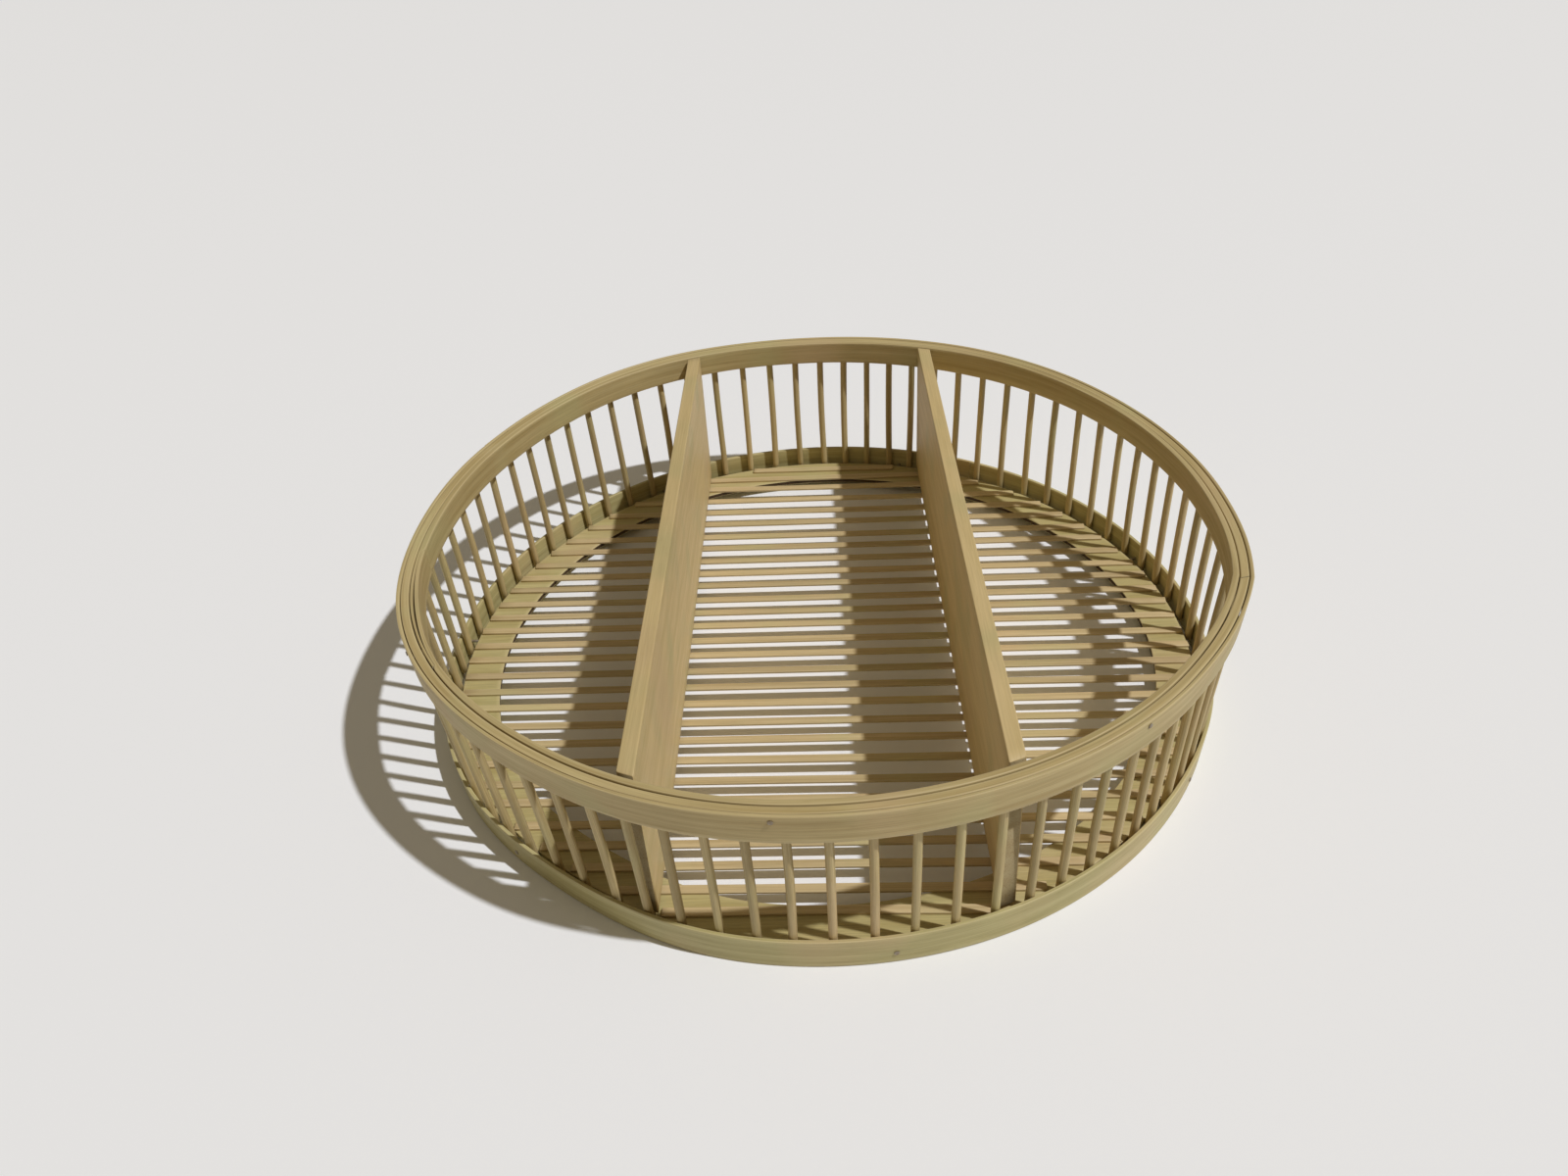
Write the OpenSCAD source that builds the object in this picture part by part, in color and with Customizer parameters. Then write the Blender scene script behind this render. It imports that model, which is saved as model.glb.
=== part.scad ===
// Round bamboo basket with an open post wall, a slatted floor and two boards
// that divide it into three compartments. Millimetres, +Z up. The origin is
// on the basket's axis, on the surface that it stands on. X runs nearly along
// the floor slats, Y nearly along the two boards.

/* [Basket] */
// Outer radius over the rim, at the top edge
rim_r = 165; // [140:1:200]
// Height from the table to the top of the rim
basket_h = 76; // [60:1:110]
// Outward lean of the wall, in degrees
wall_lean = 3; // [0:0.5:6]
// Corner that the maker's knife takes off every hoop and board edge
arris = 0.35; // [0.1:0.05:0.5]

/* [Rim hoops] */
// Height of the outer rim hoop
rim_hoop_h = 12.6; // [9:0.2:20]
// Height of the inner rim hoop
inner_hoop_h = 11.6; // [9:0.2:20]
// Thickness of the outer rim hoop
outer_hoop_t = 1.5; // [1.2:0.1:2.4]
// Thickness of the inner rim hoop
inner_hoop_t = 2.6; // [2:0.1:4]
// Height of the cap hoop that lies between them, on top of the posts
cap_hoop_h = 5; // [3:0.5:7]
// Clearance between the cap hoop and its neighbours
cap_fit = 0.05; // [0.02:0.01:0.2]

/* [Hoop joints] */
// Angle between a scarf joint and its hoop, in degrees
scarf_angle = 13; // [12:1:30]
// Angle between the cap hoop's steeper joint and the hoop
cap_scarf_angle = 57; // [30:1:90]
// Open seam left in a joint
scarf_seam = 0.3; // [0.1:0.05:0.6]
// Place of the cap hoop's joint, in degrees from +X
cap_joint_at = -19; // [-180:1:180]
// Place of the outer rim hoop's joint
outer_joint_at = 152; // [-180:1:180]
// Place of the inner rim hoop's joint
inner_joint_at = -160; // [-180:1:180]
// Place of the base hoop's joint
base_joint_at = 63; // [-180:1:180]

/* [Posts] */
// Diameter of a wall post
post_d = 3.2; // [2.4:0.1:4.5]
// Number of posts around the wall, in four equal groups
post_count = 76; // [60:4:84]
// Clearance between a post and the hoops on either side of it
post_fit = 0.15; // [0.05:0.05:0.4]
// Clearance between a post's top and the cap hoop
post_top_gap = 0.2; // [0.15:0.05:0.5]
// Direction of the first post, in degrees from +X
first_post_at = 9.4; // [0:0.1:40]
// Slow drift in the posts' spacing, three waves around, in degrees
post_drift = 1.1; // [0:0.1:1.2]
// Quick drift in the posts' spacing, six waves around, in degrees
post_wander = 0.7; // [0:0.1:0.8]

/* [Base] */
// Height of the hoop around the foot of the wall
base_hoop_h = 13.6; // [12:0.2:20]
// Thickness of that hoop
base_hoop_t = 1.5; // [1.2:0.1:2.4]
// Height of the ring's underside above the table
ring_z = 4; // [2:0.2:6]
// Thickness of the flat ring that carries the slats
ring_t = 2.2; // [2:0.2:5]
// Width of the ring, from its hole to its rim
ring_w = 16; // [12:0.5:24]
// Clearance between the posts and the ring or the slats' ends
ring_fit = 0.2; // [0.1:0.05:0.5]

/* [Floor slats] */
// Width of a slat
slat_w = 3.8; // [3:0.1:6.8]
// Thickness of a slat
slat_t = 1.2; // [1.1:0.1:2.5]
// Spacing of the slats over most of the floor
slat_pitch = 10.52; // [9.6:0.01:11]
// Closer spacing of the last slats at the back
close_pitch = 8.3; // [7.2:0.1:8.6]
// Number of slats laid at the closer spacing
close_slats = 2; // [2:1:8]
// Distance from the floor's front edge to the middle of the first slat
front_slat_in = 13.8; // [8:0.1:20]
// Distance from the floor's back edge to the middle of the last slat
back_slat_in = 6.9; // [4.6:0.1:9]
// Least spacing between the last even slat and the first close one
least_pitch = 7.2; // [7.2:0.1:8]
// Slow drift of the even slats from their places, back and forth across the floor
slat_sway = 1.3; // [0:0.1:1.6]
// Quick drift from one slat to the next
slat_wander = 0.4; // [0:0.1:0.5]
// Turn of all the slats about the axis, in degrees
slat_turn = -1.5; // [-3:0.1:3]

/* [Boards] */
// Thickness of a dividing board
board_t = 5.8; // [4:0.1:8]
// Place of the left board's middle, from the axis
left_board_x = -60.8; // [-80:0.2:-45]
// Place of the right board's middle, from the axis
right_board_x = 57.6; // [45:0.2:80]
// Turn of the left board about its middle, in degrees
left_board_turn = -0.85; // [-3:0.05:3]
// Turn of the right board about its middle, in degrees
right_board_turn = 0.7; // [-3:0.05:3]
// Gap between a board's ends and the wall
board_fit = 0.3; // [0.3:0.1:0.9]

/* [Brads] */
// Diameter of a brad's shank
brad_d = 1.2; // [0.8:0.1:1.6]
// Diameter of a brad's head
brad_head_d = 1.9; // [1.7:0.1:3]
// Thickness of a brad's head
brad_head_t = 0.4; // [0.3:0.1:0.6]
// Number of brads around the base
base_brad_count = 7; // [5:1:24]
// Depth that a rim brad reaches into the inner hoop
brad_bite = 1.9; // [1.4:0.1:2.4]
// Depth that a base brad reaches into the ring
ring_brad_bite = 6.6; // [4:0.2:12]
// Depth that a brad reaches into a board's end
board_brad_bite = 11; // [8:0.5:16]
// Depth of a board brad's head below the inner hoop's outer face
board_brad_sink = 0.6; // [0.5:0.05:0.9]
// Diameter of the fine pins that hold the slats to the ring
pin_d = 0.8; // [0.6:0.1:1]
// Depth that a pin reaches into a slat
pin_bite = 0.8; // [0.5:0.05:0.9]

/* [Hidden] */
$fn = 144;
// Room between the outer and inner hoops, where the posts stand
post_gap = post_d + 2 * post_fit;
// Distance from the wall's outer face to a post's middle
post_inset = outer_hoop_t + post_fit + post_d / 2;
// Smallest clear radius inside the posts at the floor
floor_r = wall_r(ring_z) - (post_inset + post_d / 2) / cos(wall_lean) - ring_fit;
ring_mid_r = floor_r - ring_w / 2;
slat_z = ring_z + ring_t;
board_z = slat_z + slat_t;
// The even slats are as many as fit in front of the close ones
close_room = back_slat_in + (close_slats - 1) * close_pitch + least_pitch;
even_slats = 1 + floor((2 * floor_r - front_slat_in - close_room) / slat_pitch);
slat_count = even_slats + close_slats;
posts_per_side = post_count / 4;
// The right-hand quarter of the wall starts at -45 degrees
right_side_start = -floor((45 + first_post_at) * post_count / 360);
cap_z = basket_h - cap_hoop_h;
rim_z = basket_h - rim_hoop_h;
inner_z = basket_h - inner_hoop_h;
// The boards' ends are cut to this radius, clear of the posts and the inner hoop
board_r = min(floor_r + ring_fit,
    wall_r(inner_z) - outer_hoop_t - post_gap - inner_hoop_t) - board_fit;
// Place and turn of each board
BOARDS = [[left_board_x, left_board_turn], [right_board_x, right_board_turn]];
// The rim brads pass over the posts, through the middle of the cap hoop
rim_brad_z = cap_z + cap_hoop_h / 2;
// Directions of the rim brads, spaced by eye, in degrees from +X
rim_brads_at = [12, 60, 118, 166, 207, 264, 309];
// Part of a brads' step from the first post to the first base brad
base_brad_turn = 0.2;
// Long enough to cross any hoop, and no more than a short way around it
scarf_l = 34;
// Phases of the slow and the quick drift of the posts, in degrees
drift_phase = 17;
wander_phase = 128;
// Waves of the slow drift between the first even slat and the last
sway_waves = 1.4;
// Phase step of the quick drift from one slat to the next, in degrees
slat_phase = 137;
// Beyond this share of the ring's middle radius a slat lies along the ring,
// and its pins stand at the second share of its half length
along_ring_share = 0.92;
end_pin_share = 0.45;
// Facets around a brad and around a post
brad_fn = 24;
post_fn = 32;
straw = "burlywood";
tan_skin = "tan";

SIDES = ["right", "back", "left", "front"];
SLATS = concat(
    [for (i = [1:even_slats]) str("slat_", i < 10 ? "0" : "", i)],
    [for (i = [1:close_slats]) str("back_slat_", i)]);

// Radius of the wall's leaning outer face at height z
function wall_r(z) = rim_r - (basket_h - z) * tan(wall_lean);

// Direction of post i, spaced as evenly as a hand does it
function post_at(i) =
    let (even = i * 360 / post_count)
    first_post_at + even
        + post_drift * sin(3 * even - drift_phase)
        + post_wander * sin(6 * even + wander_phase);

// Direction of base brad j, midway between two posts
function base_brad_at(j) =
    let (i = floor((j + base_brad_turn) * post_count / base_brad_count))
    (post_at(i) + post_at(i + 1)) / 2;

// Place of slat i along Y, before the turn: the even ones are laid from the front edge,
// and the close ones that follow end at the back edge
function slat_y(i) =
    slat_wander * sin(slat_phase * (i + 1))
        + (i < even_slats ?
            front_slat_in - floor_r + i * slat_pitch + even_drift(i) :
            floor_r - back_slat_in - (slat_count - 1 - i) * close_pitch);

// Slow drift of even slat i, none at the last one
function even_drift(i) =
    slat_sway * sin(360 * sway_waves * (i / (even_slats - 1) - 1));

// Half the length that fits the floor at the slat's farther edge
function slat_reach(i) =
    let (edge = abs(slat_y(i)) + slat_w / 2)
    sqrt(floor_r * floor_r - edge * edge);

// Place of a slat's pin along it: over the middle of the ring
function pin_x(i) =
    let (y = abs(slat_y(i)))
    y < along_ring_share * ring_mid_r ?
        sqrt(ring_mid_r * ring_mid_r - y * y) : end_pin_share * slat_reach(i);

// Distance along a board's middle line, from its middle to a circle of radius r
function board_run(board, end, r) =
    let (x = board[0], turn = board[1])
    abs(x * sin(turn) + end * sqrt(r * r - pow(x * cos(turn), 2)));

// A bent band that follows the wall: inset from the outer face, t thick
module band(inset, t, low, high) {
    a = wall_r(low) - inset;
    b = wall_r(high) - inset;
    rotate_extrude()
        polygon([
            [a - arris, low], [a, low + arris], [b, high - arris], [b - arris, high],
            [b - t + arris, high], [b - t, high - arris],
            [a - t, low + arris], [a - t + arris, low]]);
}

// The seam of a scarf joint, a thin slanted cut through a band
module scarf(at, inset, t, angle = scarf_angle) {
    rotate([0, 0, at])
        translate([wall_r(basket_h) - inset - t / 2, 0, basket_h / 2])
            rotate([0, 0, angle])
                cube([scarf_seam, scarf_l, 2 * basket_h], center = true);
}

// A brad along +Z from the underside of its head
module brad(length, d = brad_d, head_d = brad_head_d, head_t = brad_head_t) {
    cylinder(h = length, d = d, $fn = brad_fn);
    translate([0, 0, -head_t])
        cylinder(h = head_t, d = head_d, $fn = brad_fn);
}

// Square to the leaning wall, through the outer and cap hoops
module rim_brads() {
    color("gray")
        for (at = rim_brads_at)
            rotate([0, 0, at])
                translate([wall_r(rim_brad_z), 0, rim_brad_z])
                    rotate([0, wall_lean - 90, 0])
                        brad(outer_hoop_t + post_gap + brad_bite);
}

// Level, between two posts and into the ring's rim
module base_brads() {
    color("gray")
        for (j = [0:base_brad_count - 1])
            rotate([0, 0, base_brad_at(j)])
                translate([wall_r(ring_z + ring_t / 2), 0, ring_z + ring_t / 2])
                    rotate([0, -90, 0])
                        brad(base_hoop_t + post_gap + ring_fit + ring_brad_bite);
}

module divider_brads() {
    color("gray")
        for (board = BOARDS, end = [-1, 1])
            board_brad(board, end);
}

// A brad along a board, its head sunk in the inner hoop's outer face
module board_brad(board, end, head_t = brad_head_t) {
    head_r = wall_r(rim_brad_z) - outer_hoop_t - post_gap - board_brad_sink;
    head_y = board_run(board, end, head_r) - brad_head_t;
    translate([board[0], 0, rim_brad_z])
        rotate([0, 0, board[1]])
            translate([0, end * head_y, 0])
                rotate([end * 90, 0, 0])
                    brad(head_y - board_run(board, end, board_r) + board_brad_bite,
                        head_t = head_t);
}

// The sunk hole for such a brad, open at the hoop's outer face
module board_brad_hole(board, end) {
    board_brad(board, end, brad_head_t + 2 * board_brad_sink);
}

module slat_pins() {
    color("gray")
        for (i = [0:slat_count - 1], end = [-1, 1])
            slat_pin(i, end);
}

// A pin driven up through the ring into slat i
module slat_pin(i, end) {
    rotate([0, 0, slat_turn])
        translate([end * pin_x(i), slat_y(i), ring_z])
            brad(ring_t + pin_bite, pin_d, 2 * pin_d);
}

module rim_outer_hoop() {
    color(straw)
        difference() {
            band(0, outer_hoop_t, rim_z, basket_h);
            scarf(outer_joint_at, 0, outer_hoop_t);
            rim_brads();
        }
}

module rim_cap_hoop() {
    inset = outer_hoop_t + cap_fit;
    t = post_gap - 2 * cap_fit;
    color(straw)
        difference() {
            band(inset, t, cap_z, basket_h);
            scarf(cap_joint_at, inset, t, cap_scarf_angle);
            rim_brads();
        }
}

module rim_inner_hoop() {
    inset = outer_hoop_t + post_gap;
    color(straw)
        difference() {
            band(inset, inner_hoop_t, inner_z, basket_h);
            scarf(inner_joint_at, inset, inner_hoop_t);
            rim_brads();
            for (board = BOARDS, end = [-1, 1])
                board_brad_hole(board, end);
        }
}

// One quarter of the posts, feet level with the ring's underside
module posts(side) {
    length = (cap_z - post_top_gap - ring_z) / cos(wall_lean);
    start = right_side_start + side * posts_per_side;
    color(tan_skin)
        for (i = [start:start + posts_per_side - 1])
            rotate([0, 0, post_at(i)])
                translate([wall_r(ring_z) - post_inset / cos(wall_lean), 0, ring_z])
                    rotate([0, wall_lean, 0])
                        cylinder(h = length, d = post_d, $fn = post_fn);
}

module base_hoop() {
    color(straw)
        difference() {
            band(0, base_hoop_t, 0, base_hoop_h);
            scarf(base_joint_at, 0, base_hoop_t);
            base_brads();
        }
}

module floor_ring() {
    color(straw)
        difference() {
            rotate_extrude()
                translate([floor_r - ring_w, ring_z])
                    square([ring_w, ring_t]);
            base_brads();
            slat_pins();
        }
}

// Slat i, cut square at both ends just inside the posts
module slat(i) {
    length = 2 * slat_reach(i);
    color(straw)
        difference() {
            rotate([0, 0, slat_turn])
                translate([-length / 2, slat_y(i) - slat_w / 2, slat_z])
                    cube([length, slat_w, slat_t]);
            slat_pin(i, -1);
            slat_pin(i, 1);
        }
}

// A board on edge, resting on the slats and level with the rim, its ends cut
// to the wall's curve
module divider(board) {
    color(tan_skin)
        difference() {
            intersection() {
                translate([board[0], 0, 0])
                    rotate([90, 0, board[1]])
                        translate([0, board_z, -rim_r])
                            linear_extrude(2 * rim_r)
                                board_outline(board_t, basket_h - board_z);
                cylinder(h = 2 * basket_h, r = board_r);
            }
            board_brad(board, -1);
            board_brad(board, 1);
        }
}

// Cross-section of a board with its four edges eased
module board_outline(t, h) {
    polygon([
        [arris - t / 2, 0], [t / 2 - arris, 0], [t / 2, arris], [t / 2, h - arris],
        [t / 2 - arris, h], [arris - t / 2, h], [-t / 2, h - arris], [-t / 2, arris]]);
}

rim_outer_hoop();
rim_cap_hoop();
rim_inner_hoop();
for (s = [0:len(SIDES) - 1])
    posts(s);
base_hoop();
floor_ring();
for (i = [0:slat_count - 1])
    slat(i);
divider(BOARDS[0]);  // divider_left
divider(BOARDS[1]);  // divider_right
rim_brads();
divider_brads();
base_brads();
slat_pins();
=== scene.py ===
"""A round bamboo basket with a wall of thin posts, a slatted floor and two boards
that divide it. Metres, in the CAD model's frame: X runs nearly along the floor
slats, Y across them and Z up, with the origin on the basket's axis at table level."""
import math

import bpy
import numpy as np
from mathutils import Matrix, Vector


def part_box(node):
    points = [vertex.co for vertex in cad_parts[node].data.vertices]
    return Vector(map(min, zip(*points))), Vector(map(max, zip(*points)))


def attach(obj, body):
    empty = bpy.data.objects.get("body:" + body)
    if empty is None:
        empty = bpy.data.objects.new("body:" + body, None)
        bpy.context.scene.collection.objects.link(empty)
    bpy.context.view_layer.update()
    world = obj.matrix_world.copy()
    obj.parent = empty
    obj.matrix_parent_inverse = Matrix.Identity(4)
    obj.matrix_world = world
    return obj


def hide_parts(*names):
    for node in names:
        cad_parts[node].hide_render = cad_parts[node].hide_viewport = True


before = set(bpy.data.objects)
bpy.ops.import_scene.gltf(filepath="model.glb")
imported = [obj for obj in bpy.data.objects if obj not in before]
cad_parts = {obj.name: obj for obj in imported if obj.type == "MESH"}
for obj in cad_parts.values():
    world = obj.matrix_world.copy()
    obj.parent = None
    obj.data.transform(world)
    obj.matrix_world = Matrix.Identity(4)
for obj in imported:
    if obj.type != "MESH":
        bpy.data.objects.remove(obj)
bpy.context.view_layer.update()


# ---------------------------------------------------------------- studio
# A wide pale table top, a key light from the right like a high window, and an
# even fill from all around. The camera looks down over the basket's front edge
# and is held a little crooked.
camera_place = Vector((0.00267, -0.41465, 0.34664))
camera_turn = math.radians(2.48)
camera_tilt = math.radians(36.51)
camera_roll = math.radians(-3.93)
camera = bpy.data.objects.new("camera", bpy.data.cameras.new("camera"))
camera.data.lens = 28.125
camera.data.sensor_width = 36
camera.matrix_world = (
    Matrix.Translation(camera_place)
    @ Matrix.Rotation(camera_turn, 4, "Z")
    @ Matrix.Rotation(math.pi / 2 - camera_tilt, 4, "X")
    @ Matrix.Rotation(camera_roll, 4, "Z")
)
bpy.context.scene.collection.objects.link(camera)
bpy.context.scene.camera = camera
bpy.context.scene.view_settings.view_transform = "Standard"

key_height = math.radians(57.5)
key_turn = math.radians(-19.3)
key_spread = math.radians(1.6)
key = bpy.data.objects.new("key_light", bpy.data.lights.new("key_light", "SUN"))
key.data.energy = 2.45
key.data.angle = key_spread
key.data.color = (0.98, 1.0, 1.05)
toward_key = Vector((
    math.cos(key_height) * math.cos(key_turn),
    math.cos(key_height) * math.sin(key_turn),
    math.sin(key_height),
))
key.matrix_world = toward_key.to_track_quat("Z", "Y").to_matrix().to_4x4()
bpy.context.scene.collection.objects.link(key)


def shader(tree, kind, inputs=None, **settings):
    """Adds one shader node. Settings are the node's own, and inputs are its sockets
    by name or number, each with a value or another node's output."""
    node = tree.nodes.new("ShaderNode" + kind)
    for name, value in settings.items():
        setattr(node, name, value)
    for name, value in (inputs or {}).items():
        if isinstance(value, bpy.types.NodeSocket):
            tree.links.new(value, node.inputs[name])
        else:
            node.inputs[name].default_value = value
    return node


# The fill is warm, as if thrown back by a wooden room. What the camera sees past
# the table is as pale as the table
table_paint = (0.9, 0.9, 0.9, 1)
warm_glow = (0.9, 0.78, 0.575, 1)
studio = bpy.data.worlds.new("studio")
studio.use_nodes = True
studio.node_tree.nodes.clear()
sky = studio.node_tree
fill = shader(sky, "Background", {"Color": warm_glow, "Strength": 0.24})
backdrop = shader(sky, "Background", {"Color": table_paint, "Strength": 1.0})
seen = shader(sky, "LightPath").outputs["Is Camera Ray"]
both = shader(sky, "MixShader", {0: seen, 1: fill.outputs[0], 2: backdrop.outputs[0]})
shader(sky, "OutputWorld", {"Surface": both.outputs[0]})
bpy.context.scene.world = studio

table_half = 6.0
table_corners = [
    (-table_half, -table_half, 0), (table_half, -table_half, 0),
    (table_half, table_half, 0), (-table_half, table_half, 0)]
table_mesh = bpy.data.meshes.new("table_top")
table_mesh.from_pydata(table_corners, [], [(0, 1, 2, 3)])
table_top = bpy.data.objects.new("table_top", table_mesh)
bpy.context.scene.collection.objects.link(table_top)
paint = bpy.data.materials.new("pale_table")
paint.use_nodes = True
painted = paint.node_tree.nodes["Principled BSDF"]
painted.inputs["Base Color"].default_value = table_paint
painted.inputs["Roughness"].default_value = 0.85
table_mesh.materials.append(paint)


# ---------------------------------------------------------------- rim hoops
# Three long strips of split bamboo, bent into rings around the heads of the
# posts. The outer and inner ones clamp the posts, and the cap hoop fills the
# room above them. Their ends are pared thin and lapped, or cut to meet.
mm = 0.001
straw_colour = (0.61, 0.485, 0.235, 1)
shade_colour = (0.46, 0.34, 0.14, 1)
green_colour = (0.53, 0.47, 0.215, 1)
pink_colour = (0.62, 0.445, 0.24, 1)
fleck_colour = (0.62, 0.5, 0.36, 1)
worn_colour = (0.68, 0.56, 0.32, 1)
# Painted shade: the dark brown that bamboo is darkened towards where its wear value is negative
painted_shade_colour = (0.24, 0.15, 0.065, 1)


def mixed(tree, kind, factor, first, second):
    """A colour made from two others by the Mix node's rule of that kind."""
    node = shader(tree, "Mix", {0: factor, 6: first, 7: second}, data_type="RGBA", blend_type=kind)
    return node.outputs[2]


def stretched(tree, value, low, high, to_low=0.0, to_high=1.0):
    """A number taken from the range low to high into the range to_low to to_high."""
    return shader(tree, "MapRange", {
        "Value": value, "From Min": low, "From Max": high, "To Min": to_low, "To Max": to_high,
    }).outputs["Result"]


def dimmed(tree, colour, number):
    """A colour whose three parts are each multiplied by the same number."""
    grey = shader(tree, "CombineColor", {"Red": number, "Green": number, "Blue": number}).outputs[0]
    return mixed(tree, "MULTIPLY", 1.0, colour, grey)


def noise(tree, place, scale, detail):
    """Smooth noise between 0 and 1, in scale patches to the metre of place."""
    return shader(tree, "TexNoise", {"Vector": place, "Scale": scale, "Detail": detail}).outputs["Fac"]


def bare_material(name):
    """A material with no nodes yet, and its node tree."""
    material = bpy.data.materials.new(name)
    material.use_nodes = True
    material.node_tree.nodes.clear()
    return material, material.node_tree


def finish(tree, bump, inputs):
    """A surface with these inputs and this bump, as the material's only output."""
    surface = shader(tree, "BsdfPrincipled", {**inputs, "Normal": bump.outputs[0]})
    shader(tree, "OutputMaterial", {"Surface": surface.outputs[0]})


def bamboo(name, pale, dark, fibre_w=0.35 * mm, band_w=2.6 * mm, contrast=0.5):
    """Split bamboo. Noise drawn out along the strip makes its fine fibres and wider
    bands, a slow drift turns it greener or pinker from place to place, each strip has
    its own tone, and its rubbed corners are paler. A negative wear value darkens it
    towards dark brown, as painted shade. The fibres also make the bump."""
    fibre_l, band_l, fleck_l, fleck_w = 22 * mm, 110 * mm, 5 * mm, 0.22 * mm
    green_share, pink_share, worn_share, painted_shade_share = 0.55, 0.5, 0.3, 0.75
    dull, glossy = 0.62, 0.46
    material, tree = bare_material(name)
    strip = shader(tree, "UVMap", uv_map="fibre").outputs["UV"]
    place = shader(tree, "TexCoord").outputs["Object"]
    tone = shader(tree, "Attribute", attribute_name="tone").outputs["Fac"]
    wear_and_shade = shader(tree, "Attribute", attribute_name="wear_and_shade").outputs["Fac"]

    def grain(length, width, detail):
        drawn = shader(tree, "Mapping", {"Vector": strip, "Scale": (1 / length, 1 / width, 1)})
        return shader(tree, "TexNoise", {
            "Vector": drawn.outputs[0], "Scale": 1.0, "Detail": detail, "Roughness": 0.55,
        }).outputs["Fac"]

    # Noise keeps near its middle, 0.5, so each effect grows over a narrow range of it
    fibres = grain(fibre_l, fibre_w, 2.0)
    bands = grain(band_l, band_w, 3.0)
    flecks = grain(fleck_l, fleck_w, 0.0)
    greener = stretched(tree, noise(tree, place, 34.0, 1.0), 0.52, 0.72, 0, green_share)
    pinker = stretched(tree, noise(tree, place, 21.0, 2.0), 0.54, 0.74, 0, pink_share)
    thread = stretched(tree, fibres, 0.3, 0.7, 1 - 0.3 * contrast, 1 + 0.14 * contrast)
    fleck = stretched(tree, flecks, 0.66, 0.8, 0, 0.5 * contrast)

    colour = mixed(tree, "MIX", stretched(tree, bands, 0.34, 0.66), dark, pale)
    colour = mixed(tree, "MIX", greener, colour, green_colour)
    colour = mixed(tree, "MIX", pinker, colour, pink_colour)
    colour = dimmed(tree, colour, thread)
    colour = mixed(tree, "MULTIPLY", fleck, colour, fleck_colour)
    colour = dimmed(tree, colour, stretched(tree, tone, 0, 1, 0.86, 1.07))
    colour = mixed(tree, "MIX", stretched(tree, wear_and_shade, 0, 1, 0, worn_share), colour, worn_colour)
    # Painted shade: a negative wear value darkens the colour towards dark brown
    colour = mixed(tree, "MIX", stretched(tree, wear_and_shade, 0, -1, 0, painted_shade_share), colour, painted_shade_colour)

    relief = shader(tree, "Math", {0: fibres, 1: stretched(tree, bands, 0, 1, 0, 0.8)}, operation="ADD")
    bump = shader(tree, "Bump", {"Strength": 0.45, "Distance": 0.12 * mm, "Height": relief.outputs[0]})
    finish(tree, bump, {
        "Base Color": colour,
        "Roughness": stretched(tree, fibres, 0.3, 0.7, dull, glossy),
        "Specular IOR Level": 0.38,
    })
    return material


def cut_bamboo(name, pale, dark):
    """Bamboo cut across its fibres: fine dark dots, the ends of the fibre bundles, in
    a paler ground, with the roughness that a saw or knife leaves."""
    bundles_per_m = 1900.0
    stain_colour = (0.8, 0.72, 0.6, 1)
    material, tree = bare_material(name)
    place = shader(tree, "TexCoord").outputs["Object"]
    dots = shader(tree, "TexVoronoi", {"Vector": place, "Scale": bundles_per_m}).outputs["Distance"]
    patches = noise(tree, place, 260.0, 3.0)
    colour = mixed(tree, "MIX", stretched(tree, dots, 0.18, 0.34), dark, pale)
    colour = mixed(tree, "MULTIPLY", stretched(tree, patches, 0.4, 0.7, 0, 0.6), colour, stain_colour)
    bump = shader(tree, "Bump", {"Strength": 0.5, "Distance": 0.1 * mm, "Height": patches})
    finish(tree, bump, {"Base Color": colour, "Roughness": 0.8, "Specular IOR Level": 0.2})
    return material


hoop_side = bamboo("hoop_bamboo", pale=straw_colour, dark=shade_colour)
hoop_end = cut_bamboo("hoop_end_grain", pale=(0.62, 0.55, 0.36, 1), dark=(0.3, 0.2, 0.1, 1))


def eased_section(width, thick, ease, flats=(0.1, 0.5, 0.9)):
    """The outline of a strip's cross-section: a rectangle with corners rounded to the
    radius ease, an arc of three points each, and a point at each given share of every
    flat. It runs counter-clockwise. Returns the points as shares of the half sizes,
    and how worn each one is, from 0 on the flats to 1 on the corners."""
    half = np.array([width, thick]) / 2
    corners = (half - ease) * [(1, 1), (-1, 1), (-1, -1), (1, -1)]
    outline, wear_and_shade = [], []
    for quarter in range(4):
        angle = np.radians(90 * quarter + np.array([0, 45, 90]))
        turn = ease * np.stack([np.cos(angle), np.sin(angle)], axis=1)
        arc = corners[quarter] + turn
        flat_end = corners[(quarter + 1) % 4] + turn[-1]
        outline += [arc, arc[-1] + np.outer(flats, flat_end - arc[-1])]
        wear_and_shade += [0.7, 1, 0.7] + [0] * len(flats)
    return np.concatenate(outline) / half, np.array(wear_and_shade, float)


def unit(vectors):
    """The vectors at length 1."""
    return vectors / np.linalg.norm(vectors, axis=-1, keepdims=True)


def ease_ends(rings, ease):
    """Takes the corner off both ends of each stick: the last outline is drawn in by
    ease on all sides, and a full one stands ease before it."""
    first = unit((rings[:, 1] - rings[:, 0]).mean(axis=1, keepdims=True))
    last = unit((rings[:, -1] - rings[:, -2]).mean(axis=1, keepdims=True))

    def drawn_in(ring, forward):
        run = np.roll(ring, -1, 1) - np.roll(ring, 1, 1)
        return ring + ease * unit(np.cross(forward, run))

    near_end = np.stack([drawn_in(rings[:, 0], first), rings[:, 0] + ease * first], axis=1)
    far_end = np.stack([rings[:, -1] - ease * last, drawn_in(rings[:, -1], last)], axis=1)
    return np.concatenate([near_end, rings[:, 1:-1], far_end], axis=1)


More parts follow.
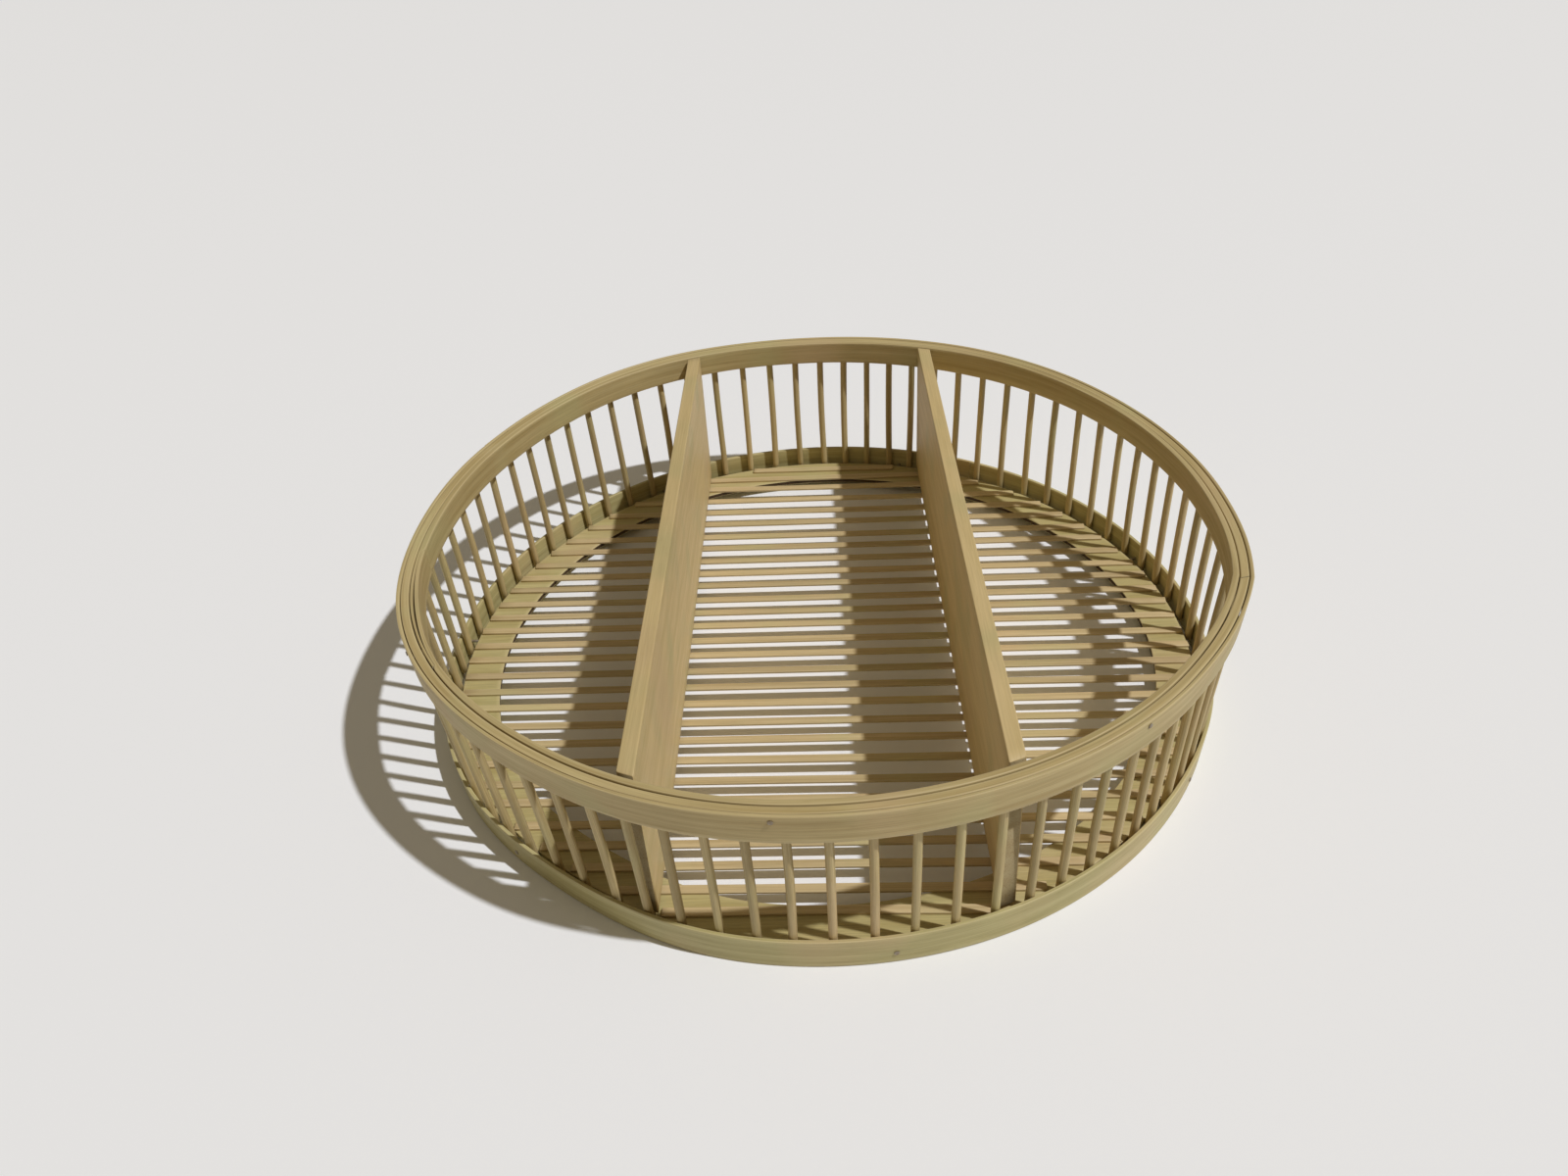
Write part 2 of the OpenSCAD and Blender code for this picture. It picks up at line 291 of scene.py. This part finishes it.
def fibre_map(rings, seed):
    """For each stick, metres along its path and around its outline, from a seeded
    start within 20 metres, so that no two sticks show the same grain. One more station
    and one more point than the rings have close the round."""
    farthest_start = 20
    middle = rings.mean(axis=2)
    step = np.linalg.norm(np.roll(middle, -1, 1) - middle, axis=2)
    half_way = rings[:, rings.shape[1] // 2]
    side = np.linalg.norm(np.roll(half_way, -1, 1) - half_way, axis=2)
    start = np.random.default_rng(seed).uniform(0, farthest_start, (2, len(rings), 1))
    along = np.concatenate([start[0], start[0] + np.cumsum(step, axis=1)], axis=1)
    around = np.concatenate([start[1], start[1] + np.cumsum(side, axis=1)], axis=1)
    along, around = np.broadcast_arrays(along[:, :, None], around[:, None, :])
    return np.stack([along, around], axis=-1)


def build(name, rings, wear_and_shade, materials, seed, fibre=None, closed=False):
    """One mesh of sticks swept along their paths. rings[k, i, j] is point j of the
    outline at station i of stick k, and the outlines run right-handed about their
    paths. Four-sided faces join each point to the next and each outline to the next.
    An open stick has a flat face of the second material at each end."""
    sharpest = math.radians(48)
    sticks, stations, points, _ = rings.shape
    fibre = fibre_map(rings, seed) if fibre is None else fibre
    index = np.arange(sticks * stations * points).reshape(sticks, stations, points)
    here = index if closed else index[:, :-1]
    there = np.roll(index, -1, 1) if closed else index[:, 1:]
    sides = np.stack([here, np.roll(here, -1, 2), np.roll(there, -1, 2), there], axis=-1)
    spans = here.shape[1]
    side_fibre = np.stack([
        fibre[:, :spans, :-1], fibre[:, :spans, 1:],
        fibre[:, 1:spans + 1, 1:], fibre[:, 1:spans + 1, :-1]], axis=3)
    faces = sides.reshape(-1, 4).tolist()
    corners = [side_fibre.reshape(-1, 2)]
    if not closed:
        faces += index[:, 0, ::-1].tolist() + index[:, -1].tolist()
        corners += [fibre[:, 0, -2::-1].reshape(-1, 2), fibre[:, stations - 1, :-1].reshape(-1, 2)]
    mesh = bpy.data.meshes.new(name)
    mesh.from_pydata(rings.reshape(-1, 3).tolist(), [], faces)
    fibre_layer = mesh.uv_layers.new(name="fibre")
    fibre_layer.data.foreach_set("uv", np.concatenate(corners).ravel().astype(np.float32))
    tone = np.random.default_rng(seed + 1).uniform(0, 1, sticks)
    per_point = {"tone": np.repeat(tone, stations * points), "wear_and_shade": np.tile(wear_and_shade, sticks * stations)}
    for attribute, values in per_point.items():
        layer = mesh.attributes.new(attribute, "FLOAT", "POINT")
        layer.data.foreach_set("value", values.astype(np.float32))
    for material in materials:
        mesh.materials.append(material)
    ends = np.arange(len(faces)) >= sides.size // 4
    mesh.polygons.foreach_set("material_index", ends.astype(np.int32))
    mesh.polygons.foreach_set("use_smooth", np.ones(len(faces), bool))
    mesh.set_sharp_from_angle(angle=sharpest)
    piece = bpy.data.objects.new(name, mesh)
    bpy.context.scene.collection.objects.link(piece)
    return piece


def hand_over(piece, slot, *nodes):
    """The piece stands for these CAD nodes and rides with the basket. The slot is not used."""
    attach(piece, "root")
    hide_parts(*nodes)


def node_points(node):
    """All corners of a CAD node's mesh, as rows of x, y, z."""
    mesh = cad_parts[node].data
    points = np.empty(3 * len(mesh.vertices), np.float32)
    mesh.vertices.foreach_get("co", points)
    return points.reshape(-1, 3).astype(float)


def hoop_size(node):
    """A CAD hoop's outer and inner radius at its top edge, its lowest and highest z,
    and its outward lean, read from its mesh."""
    near = 0.5 * mm
    points = node_points(node)
    r, z = np.hypot(points[:, 0], points[:, 1]), points[:, 2]
    top, foot = z > z.max() - near, z < z.min() + near
    rise = z[top][r[top].argmax()] - z[foot][r[foot].argmax()]
    return r[top].max(), r[top].min(), z.min(), z.max(), (r[top].max() - r[foot].max()) / rise


# Where the hand-bent wall strays from its circle: direction and half width in
# degrees, and millimetres outwards, at the rim and at the foot
rim_bends = (
    (22, 44, -3.0), (122, 33, 3.4), (172, 30, -1.0), (205, 32, 2.2), (282, 40, -1.5), (-20, 22, 1.7))
foot_bends = ((233, 26, -2.6), (300, 30, 0.4))
rim_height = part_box("rim_cap_hoop")[1].z
# The meeting ends of the cap hoop push the rim out to a point there
point_at, point_w, point_out = -19, 4, 0.7 * mm


def turn_between(arc, degrees):
    """The angle in degrees from a direction to each of arc's, the short way round."""
    return (np.degrees(arc) - degrees + 180) % 360 - 180


def bend(arc, bends):
    """A sum of smooth hills, each falling from its height to nothing as a cosine."""
    hills = np.zeros_like(arc)
    for at, half_w, height in bends:
        aside = np.clip(np.abs(turn_between(arc, at)) / half_w, 0, 1)
        hills = hills + height * mm * (1 + np.cos(np.pi * aside)) / 2
    return hills


def stray(arc, z):
    """How far the wall lies outside its circle: the foot's bends at the table, the
    rim's at the top, and an even mix of both between."""
    point = point_out * np.exp(-np.abs(turn_between(arc, point_at)) / point_w)
    share = z / rim_height
    return bend(arc, foot_bends) * (1 - share) + (bend(arc, rim_bends) + point) * share


def ripple(arc, size, seed, waves=(2, 3, 5, 8, 13, 21)):
    """A smooth wander, never more than size: sines at seeded phases, the slower ones
    stronger. Whole numbers of waves close round a hoop."""
    phase = np.random.default_rng(seed).uniform(0, 2 * np.pi, len(waves))
    weight = 1 / np.sqrt(waves)
    sines = np.sin(np.multiply.outer(arc, waves) + phase)
    return size * (sines * weight).sum(axis=-1) / weight.sum()


# A hoop's rounded corners, the thickness of its pared ends, and the length over which
# they reach the full one
hoop_ease = 0.36 * mm
hoop_tip = 0.35 * mm
lap_shoulder = 1.2 * mm
# How much its face, its top edge and its lower edge wander
face_wander = 0.06 * mm
top_wander = 0.18 * mm
foot_wander = 0.2 * mm
# How far from a slanted end the outlines still stand askew
slant_reach = 5 * mm


def hoop(name, node, side, seed, joint, lap, tip=hoop_tip, tail=hoop_tip, opening=0.0, slant=0.0,
         shy=(0.0, 0.0), drop=0.0, lift=(), stations=900):
    """A strip bent to a ring, as a rectangle carried round the wall. Where it laps
    itself, the first end lies inside and is pared down to tip on its outer face, and the
    last end lies outside and is pared down to tail on its inner face. opening is how far
    the inner end bows away from the other. A negative lap leaves a gap between two ends,
    cut at a slant. shy is how far its outer and inner faces stay back from the CAD
    hoop's, drop how far its top edge lies below, and lift the hills in its lower edge."""
    outer, inner, low, high, lean = hoop_size(node)
    outer, inner = outer - shy[0], inner + shy[1]
    thick = outer - inner
    outline, wear_and_shade = eased_section(high - low, thick, hoop_ease)
    arc = math.radians(joint) + np.linspace(0, 2 * np.pi + lap / outer, stations)
    first, last = (arc - arc[0]) * outer, (arc[-1] - arc) * outer
    face_out, face_in = np.full(stations, outer), np.full(stations, inner)
    if lap > 0:
        pared = [0, lap, lap + lap_shoulder]
        face_out = np.interp(first, pared, [inner + tip, outer - tail, outer])
        face_in = np.interp(last, pared, [outer - tail, inner + tip, inner])
        bow = opening * np.sin(np.pi * np.clip(first / lap, 0, 1)) ** 2
        face_out, face_in = face_out - bow, face_in - bow
    wander = ripple(arc, face_wander, seed) - face_wander
    top = high - drop - top_wander - ripple(arc, top_wander, seed + 1)
    foot = low + foot_wander + ripple(arc, foot_wander, seed + 2) + bend(arc, lift)
    near_end = np.exp(-np.minimum(first, last) / slant_reach)
    turn = arc[:, None] + slant * thick / 2 / outer * np.outer(near_end, outline[:, 1])
    z = ((top + foot)[:, None] + np.outer(top - foot, outline[:, 0])) / 2
    r = ((face_out + face_in)[:, None] + np.outer(face_out - face_in, outline[:, 1])) / 2
    r = r + wander[:, None] - (high - z) * lean + stray(turn, z)
    rings = np.stack([r * np.cos(turn), r * np.sin(turn), z], axis=-1)[None]
    return build(name, rings, wear_and_shade, (side, hoop_end), seed)


# The cap hoop's ends are cut at 57 degrees to its length, with a hair of a gap
cap_slant = 1 / math.tan(math.radians(57))
outer_hoop = hoop("outer_hoop", "rim_outer_hoop", hoop_side, 11, joint=150, lap=15 * mm,
                  shy=(0, 0.12 * mm))
cap_hoop = hoop("cap_hoop", "rim_cap_hoop", hoop_side, 21, joint=-19.2, lap=-0.5 * mm,
                slant=cap_slant, shy=(0.15 * mm, 0.2 * mm), drop=0.25 * mm)
inner_hoop = hoop("inner_hoop", "rim_inner_hoop", hoop_side, 31, joint=185, lap=76 * mm,
                  tip=1.4 * mm, tail=0.9 * mm, opening=0.7 * mm, shy=(0.2 * mm, 0),
                  lift=((108, 60, 0.9),))
hand_over(outer_hoop, "hoop_bamboo", "rim_outer_hoop")
hand_over(cap_hoop, "hoop_bamboo", "rim_cap_hoop")
hand_over(inner_hoop, "hoop_bamboo", "rim_inner_hoop")


# ---------------------------------------------------------------- posts
# Thin round sticks, shaved from split bamboo and drawn through a hole, so that
# each is nearly round, a little bowed and tapered. They stand between the rim
# hoops at the top and between the base hoop and the ring at the foot.
post_side = bamboo("post_bamboo", pale=(0.59, 0.47, 0.235, 1), dark=(0.45, 0.34, 0.15, 1),
                   fibre_w=0.25 * mm, band_w=1.1 * mm, contrast=0.7)
post_end = cut_bamboo("post_end_grain", pale=(0.5, 0.42, 0.26, 1), dark=(0.28, 0.19, 0.1, 1))
post_stations, post_points = 15, 14
post_ease = 0.25 * mm
# How far a hand sets the feet to one side, and how far the sticks bow
foot_aside = 0.6 * mm
bow_aside = 0.45 * mm
bow_inwards, bow_outwards = 0.3 * mm, 0.1 * mm
# Shares of the radius: the stick's size, its taper, and its two and three flats
post_size, post_taper = 0.97, 0.03
two_flats, three_flats = 0.035, 0.025
# Radians by which the flats turn, in all and at their seeded start
post_twist, any_start = 0.5, 6


def loose_parts(node):
    """The corners of each separate solid in a CAD node. Corners that share a place are
    one, and the lowest number on each triangle spreads to its corners until every
    solid has one number of its own."""
    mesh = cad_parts[node].data
    corners = np.empty(len(mesh.loops), np.int32)
    mesh.loops.foreach_get("vertex_index", corners)
    points, same = np.unique(node_points(node).round(7), axis=0, return_inverse=True)
    triangles = same.ravel()[corners].reshape(-1, 3)
    number, before = np.arange(len(points)), None
    while before is None or (number != before).any():
        before = number.copy()
        np.minimum.at(number, triangles, before[triangles].min(axis=1, keepdims=True))
    return [points[number == n] for n in np.unique(number)]


def end_middles(parts):
    """For each upright stick, the middle of its foot and of its head, and its radius."""
    feet, heads, radii = [], [], []
    for points in parts:
        low = points[:, 2] < points[:, 2].mean()
        feet.append(points[low].mean(axis=0))
        heads.append(points[~low].mean(axis=0))
        radii.append(np.linalg.norm(points[low] - feet[-1], axis=1).max())
    return np.array(feet), np.array(heads), np.array(radii)


def moved_with_wall(points):
    """Points moved in or out as the hand-bent wall strays at their place."""
    arc = np.arctan2(points[..., 1], points[..., 0])
    shift = stray(arc, points[..., 2])
    return points + np.stack([shift * np.cos(arc), shift * np.sin(arc), 0 * shift], axis=-1)


def full_turn(steps):
    """Angles in that many even steps round a full turn, without its end."""
    return np.linspace(0, 2 * np.pi, steps, endpoint=False)


def circled(radius, angle, along, beside):
    """Points about the origin: radius times the cosine of the angle along one
    direction, and radius times its sine along the other."""
    return ((radius * np.cos(angle))[..., None] * along[:, None, None]
            + (radius * np.sin(angle))[..., None] * beside[:, None, None])


for number, side in enumerate(("right", "back", "left", "front")):
    feet, heads, radii = end_middles(loose_parts("posts_" + side))
    feet, heads = moved_with_wall(feet), moved_with_wall(heads)
    sticks, chance = len(feet), np.random.default_rng(400 + number)
    outwards = unit(feet * (1, 1, 0))
    sideways = np.cross((0, 0, 1), outwards)
    feet = feet + sideways * chance.uniform(-foot_aside, foot_aside, (sticks, 1))
    # Straight from foot to head, plus half a wave sideways and half a wave in or out
    share = np.linspace(0, 1, post_stations)
    half_wave = np.sin(np.pi * share)
    bow = chance.uniform(-bow_aside, bow_aside, (sticks, 1)) * half_wave
    lean = chance.uniform(-bow_inwards, bow_outwards, (sticks, 1)) * half_wave
    path = feet[:, None] + (heads - feet)[:, None] * share[:, None]
    path = path + sideways[:, None] * bow[..., None] + outwards[:, None] * lean[..., None]
    # Round, with two and three faint flats that turn slowly up the stick
    angle = full_turn(post_points)
    turn = angle + chance.uniform(0, any_start, (sticks, 1, 1)) + post_twist * share[:, None]
    taper = chance.uniform(-post_taper, post_taper, (sticks, 1, 1)) * share[:, None]
    size = radii[:, None, None] * (post_size + taper)
    size = size * (1 + two_flats * np.cos(2 * turn) + three_flats * np.cos(3 * turn + 1))
    rings = path[:, :, None] + circled(size, angle, outwards, sideways)
    posts = build("wall_posts_" + side, ease_ends(rings, post_ease), np.zeros(post_points),
                  (post_side, post_end), 410 + 10 * number)
    hand_over(posts, "post_bamboo", "posts_" + side)


# ---------------------------------------------------------------- base hoop
# One more bamboo strip around the feet of the posts, split nearer the stem's green
# skin. It stands on the table, clamps the posts to the floor's ring, and its ends
# are pared and lapped.
foot_side = bamboo("foot_bamboo", pale=(0.54, 0.475, 0.225, 1), dark=(0.4, 0.335, 0.135, 1))
base_hoop = hoop("foot_hoop", "base_hoop", foot_side, 51, joint=60, lap=16 * mm)
hand_over(base_hoop, "hoop_bamboo", "base_hoop")


# ---------------------------------------------------------------- floor ring
# A flat ring sawn from thin board, inside the posts' feet. The slats are pinned
# down to it. Its grain runs straight across from left to right, and its inner
# edge is coloured nearly black.
ring_side = bamboo("ring_wood", pale=(0.53, 0.45, 0.205, 1), dark=(0.43, 0.345, 0.135, 1),
                   fibre_w=0.5 * mm, band_w=5 * mm, contrast=0.6)
ring_dark_edge = cut_bamboo("ring_dark_inner_edge", pale=(0.07, 0.042, 0.02, 1), dark=(0.03, 0.018, 0.01, 1))
ring_stations = 480
ring_ease = 0.3 * mm
ring_cad = node_points("floor_ring")
ring_r = np.hypot(ring_cad[:, 0], ring_cad[:, 1])
ring_low, ring_high = ring_cad[:, 2].min(), ring_cad[:, 2].max()
ring_in, ring_out = ring_r.min(), ring_r.max()
ring_outline, ring_worn = eased_section(ring_high - ring_low, ring_out - ring_in, ring_ease)

# A rectangle carried round a circle that strays with the wall
ring_arc = full_turn(ring_stations)
ring_z = (ring_low + ring_high) / 2 + (ring_high - ring_low) / 2 * ring_outline[:, 0]
ring_reach = (ring_out + ring_in) / 2 + (ring_out - ring_in) / 2 * ring_outline[:, 1]
ring_reach = ring_reach + stray(ring_arc, ring_high)[:, None]
ring_rings = np.stack([
    ring_reach * np.cos(ring_arc)[:, None],
    ring_reach * np.sin(ring_arc)[:, None],
    np.broadcast_to(ring_z, ring_reach.shape)], axis=-1)[None]

# The grain follows x along the fibres and y + z across them, with the first station
# and the first point once more at the end
ring_round = np.concatenate([ring_rings, ring_rings[:, :1]], axis=1)
ring_round = np.concatenate([ring_round, ring_round[:, :, :1]], axis=2)
straight_grain = np.stack([ring_round[..., 0], ring_round[..., 1] + ring_round[..., 2]], axis=-1)
floor_ring = build("slat_ring", ring_rings, ring_worn, (ring_side, ring_dark_edge), 61,
                   fibre=straight_grain, closed=True)

# The nearly black faces are those whose two outline points both lie on the inner edge
innermost = ring_outline[:, 1] < -0.99
dark_inner_faces = np.tile(innermost & np.roll(innermost, -1), ring_stations)
floor_ring.data.polygons.foreach_set("material_index", dark_inner_faces.astype(np.int32))
hand_over(floor_ring, "slat_bamboo", "floor_ring")


# ---------------------------------------------------------------- floor slats
# Thin narrow strips of split bamboo laid from left to right, a little askew. Each
# is crowned on top, where the stem's curve was, bowed a little, and sawn off square
# just inside the posts.
slat_side = bamboo("slat_bamboo", pale=(0.63, 0.49, 0.265, 1), dark=(0.51, 0.38, 0.185, 1),
                   fibre_w=0.3 * mm, band_w=1.8 * mm, contrast=0.6)
slat_end = cut_bamboo("slat_end_grain", pale=(0.46, 0.38, 0.22, 1), dark=(0.25, 0.17, 0.09, 1))
slat_stations = 44
slat_flats = (0.08, 0.3, 0.5, 0.7, 0.92)
slat_ease, slat_end_ease = 0.22 * mm, 0.2 * mm
slat_bow, bow_waves = 0.4 * mm, (1.1, 2.3, 4.1)
slat_sag, sag_waves = 0.05 * mm, (2.1, 3.7)
slat_crown = 0.14 * mm
# Shares of the width: how much narrower than in the CAD, and how uneven
slat_narrower = 0.02
slat_uneven, uneven_waves = 0.06, (1.7, 3.9, 7.7)
# How much too short an end may be sawn, and the slope of the cut
slat_short = 0.5 * mm
slat_skew = 0.15


def end_pairs(points, axis, reach):
    """The two ends of a straight strip that runs along x (axis 0) or along y (axis 1),
    seen from above. Of the corners within reach of each end, a pair holds the lowest
    and the highest across the strip."""
    pairs = []
    for way in (-1, 1):
        along = points[:, axis] * way
        end = points[along > along.max() - reach, :2]
        across = end[:, 1 - axis]
        pairs.append([end[across.argmin()], end[across.argmax()]])
    return np.array(pairs)


slats = sorted(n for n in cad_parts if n.startswith(("slat_", "back_slat_")) and n != "slat_pins")
for number, node in enumerate(slats):
    points = node_points(node)
    low, high = points[:, 2].min(), points[:, 2].max()
    pairs = end_pairs(points, axis=0, reach=1 * mm)
    left, right = pairs.mean(axis=1)
    run = unit(right - left)
    across = np.array([-run[1], run[0]])
    width, thick = np.linalg.norm(pairs[0][1] - pairs[0][0]), high - low
    outline, wear_and_shade = eased_section(width, thick, slat_ease, slat_flats)
    chance = np.random.default_rng(700 + number)
    # A straight run whose middle line and width wander a little
    share = np.linspace(-1, 1, slat_stations)
    off_axis = left @ across + ripple(share, slat_bow, 710 + number, bow_waves)
    half_w = width / 2 * (1 - slat_narrower + ripple(share, slat_uneven, 750 + number, uneven_waves))
    beside = off_axis[:, None] + np.outer(half_w, outline[:, 0])
    # Each end stops where the hand-bent wall leaves room for its farther corner
    corners = pairs[[0, 1], np.linalg.norm(pairs, axis=2).argmax(axis=1)]
    far_r = np.linalg.norm(corners, axis=1)
    far_off = corners @ across
    room = stray(np.arctan2(corners[:, 1], corners[:, 0]), high) - chance.uniform(0, slat_short, 2)
    stops = np.array([-1, 1]) * np.sqrt((far_r + room) ** 2 - far_off ** 2)
    skew = chance.uniform(-slat_skew, slat_skew, 2)
    start = stops[0] + skew[0] * (beside[0] - off_axis[0])
    stop = stops[1] + skew[1] * (beside[-1] - off_axis[-1])
    along = start + np.multiply.outer((share + 1) / 2, stop - start)
    # The top falls from its middle line as a parabola, and wanders down a little
    on_top = outline[:, 1] > 0
    crown = slat_crown * outline[:, 0] ** 2 * on_top
    sag = slat_sag + ripple(share, slat_sag, 790 + number, sag_waves)
    z = (low + high) / 2 + thick / 2 * outline[:, 1] - crown - np.outer(sag, on_top)
    place = along[..., None] * run + beside[..., None] * across
    rings = np.concatenate([place, z[..., None]], axis=-1)[None]
    slat = build("floor_" + node, ease_ends(rings, slat_end_ease), wear_and_shade, (slat_side, slat_end),
                 830 + 2 * number)
    hand_over(slat, "slat_bamboo", node)


# ---------------------------------------------------------------- boards
# Two planed boards on edge, level with the rim. They are nailed at their ends and
# stay just clear of the slats, so that a little light passes under them. Their
# corners are eased and their ends are cut to the curve of the wall.
board_side = bamboo("board_bamboo", pale=(0.75, 0.575, 0.285, 1), dark=(0.66, 0.50, 0.225, 1),
                    fibre_w=0.6 * mm, band_w=6 * mm, contrast=0.35)
board_end = cut_bamboo("board_end_grain", pale=(0.42, 0.34, 0.19, 1), dark=(0.26, 0.18, 0.09, 1))
board_stations = 60
board_flats = (0.05, 0.35, 0.65, 0.95)
board_ease = 0.3 * mm
board_clear = 1.0 * mm
board_warp, warp_waves = 0.25 * mm, (2.2, 3.9)
board_uneven, edge_waves = 0.15 * mm, (3.1, 7.3)
# Painted shade on the boards' top and bottom edges, given as a negative wear value
painted_edge_shade = -0.22
for number, side in enumerate(("left", "right")):
    points = node_points("divider_" + side)
    low, high = points[:, 2].min() + board_clear, points[:, 2].max()
    pairs = end_pairs(points, axis=1, reach=20 * mm)
    front, back = pairs.mean(axis=1)
    run = unit(back - front)
    across = np.array([run[1], -run[0]])
    thick = abs((pairs[0][1] - pairs[0][0]) @ across)
    cut_r = np.hypot(*pairs[0].T).max()
    outline, _ = eased_section(high - low, thick, board_ease, board_flats)
    # The top and bottom edges are painted a little darker than the faces, as painted shade that dims
    # the sunlit top, and the corners are given no wear
    wear_and_shade = painted_edge_shade * (np.abs(outline[:, 0]) > 0.99)
    # The outline, set out from the middle line's nearest point to the basket's axis
    nearest = front - run * (front @ run)
    base = nearest + np.outer(outline[:, 1] * thick / 2, across)
    off_axis = base @ across
    z = (low + high) / 2 + (high - low) / 2 * outline[:, 0]
    # Each line along the board stops on the wall's circle, moved as the wall strays there
    stops = []
    for way in (-1, 1):
        reach = way * np.sqrt(cut_r ** 2 - off_axis ** 2)
        corner = base + np.outer(reach, run)
        room = stray(np.arctan2(corner[:, 1], corner[:, 0]), z)
        stops.append(way * np.sqrt((cut_r + room) ** 2 - off_axis ** 2))
    # Straight between its stops, with a slow warp sideways and a wander of the top edge
    share = np.linspace(0, 1, board_stations)
    along = stops[0] + np.multiply.outer(share, stops[1] - stops[0])
    warp = ripple(share, board_warp, 950 + number, warp_waves)[:, None]
    place = base[None] + along[..., None] * run + warp[..., None] * across
    edge = ripple(share, board_uneven, 960 + number, edge_waves)[:, None] - board_uneven
    height = z + edge * (outline[:, 0] > 0)
    rings = np.concatenate([place, height[..., None]], axis=-1)[None]
    board = build("board_" + side, ease_ends(rings, board_ease), wear_and_shade, (board_side, board_end),
                  970 + 10 * number)
    hand_over(board, "board_bamboo", "divider_" + side)


# ---------------------------------------------------------------- brads and pins
# Fine steel wire nails with flat heads, a little domed by the hammer and dulled.
# They hold the rim hoops, the base hoop, the boards' ends and the slats.
nail_head_t = 0.4 * mm
nail_point = 0.12
# A direction that no nail lies along
askew = (0.3, 0.5, 0.8)


def dull_steel(name):
    """Dark dull steel: a slow change of colour from grey to brown, and small pits in
    its gloss and relief."""
    grey, brown = (0.42, 0.38, 0.32, 1), (0.28, 0.22, 0.15, 1)
    glossy, dull = 0.4, 0.62
    material, tree = bare_material(name)
    place = shader(tree, "TexCoord").outputs["Object"]
    stain = noise(tree, place, 400.0, 3.0)
    pits = noise(tree, place, 5000.0, 2.0)
    bump = shader(tree, "Bump", {"Strength": 0.35, "Distance": 0.04 * mm, "Height": pits})
    finish(tree, bump, {
        "Base Color": mixed(tree, "MIX", stretched(tree, stain, 0.35, 0.65), grey, brown),
        "Metallic": 0.7,
        "Roughness": stretched(tree, pits, 0.3, 0.7, glossy, dull),
    })
    return material


steel = dull_steel("wire_steel")


def nail_lines(parts):
    """For each nail, the middle of its head, its point, and the radii of its head and
    its shank. The axis is the direction in which its corners spread most, and the head
    is the end that is wider."""
    heads, tips, head_r, shank_r = [], [], [], []
    for points in parts:
        middle = points.mean(axis=0)
        axis = np.linalg.svd(points - middle)[2][0]
        depth = (points - middle) @ axis
        off = np.linalg.norm(points - middle - np.outer(depth, axis), axis=1)
        if off[depth > 0].max() > off[depth < 0].max():
            axis, depth = -axis, -depth
        heads.append(middle + axis * depth.min())
        tips.append(middle + axis * depth.max())
        head_r.append(off[depth < 0].max())
        shank_r.append(off[depth > depth.max() - 0.5 * mm].max())
    return np.array(heads), np.array(tips), np.array(head_r)[:, None], np.array(shank_r)[:, None]


def nails(name, node, seed, around, follows_wall):
    """All nails of a CAD node, each a profile turned about its own axis: the domed
    head, a short neck, the straight shank and the point."""
    heads, tips, head_r, shank_r = nail_lines(loose_parts(node))
    if follows_wall:
        shift = moved_with_wall(heads) - heads
        heads, tips = heads + shift, tips + shift
    axis = unit(tips - heads)
    length = np.linalg.norm(tips - heads, axis=1)[:, None]
    # Five rings of the dome, each as a share of the head's thickness and radius, then
    # the neck where the shank begins, and the shank's last ring two radii from the tip
    dome_depth = np.array([0, 0.12, 0.5, 0.85, 1])
    dome_radius = np.array([0.3, 0.75, 1, 0.97, 0.85])
    dome = np.outer(np.ones(len(heads)), dome_depth * nail_head_t)
    neck = np.full_like(length, nail_head_t)
    depth = np.concatenate([dome, neck, length - 2 * shank_r, length], axis=1)
    radius = np.concatenate([head_r * dome_radius, shank_r, shank_r, shank_r * nail_point], axis=1)
    aside = unit(np.cross(axis, askew))
    beside = np.cross(axis, aside)
    path = heads[:, None] + depth[..., None] * axis[:, None]
    rings = path[:, :, None] + circled(radius[..., None], full_turn(around), aside, beside)
    piece = build(name, rings, np.zeros(around), (steel, steel), seed)
    hand_over(piece, "wire_steel", node)


nails("rim_nails", "rim_brads", seed=1010, around=14, follows_wall=True)
nails("board_nails", "divider_brads", seed=1020, around=14, follows_wall=True)
nails("base_nails", "base_brads", seed=1030, around=14, follows_wall=True)
nails("fine_pins", "slat_pins", seed=1040, around=8, follows_wall=False)
